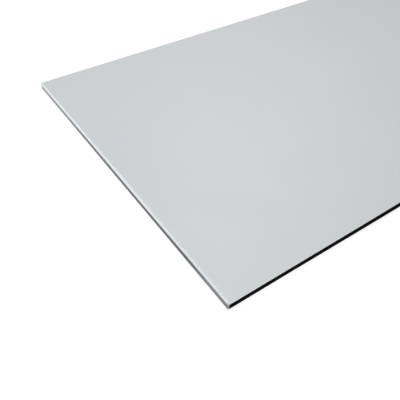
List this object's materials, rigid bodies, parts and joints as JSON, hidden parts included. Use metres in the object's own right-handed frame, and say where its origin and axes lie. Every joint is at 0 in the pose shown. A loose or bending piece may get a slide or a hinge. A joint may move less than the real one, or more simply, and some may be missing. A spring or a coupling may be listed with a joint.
{
  "type": "aluminium composite panel",
  "caption": "Flat cladding and sign panel: thin aluminium skins bonded to a black plastic core, sheared ends rolled over, long edges sawn square.",
  "frame": {"origin": "middle of the underside, where the back skin rests on the floor", "axes": "+X along the sheet's length, +Y across its width, +Z out of the painted face"},
  "size_m": [0.3, 0.2, 0.004],
  "materials": {
    "coated_face": "satin",
    "black_core": "satin",
    "mill_back": "satin"
  },
  "bodies": {
    "root": {"face_skin": "coated_face", "core": "black_core", "back_skin": "mill_back"}
  },
  "joints": []
}
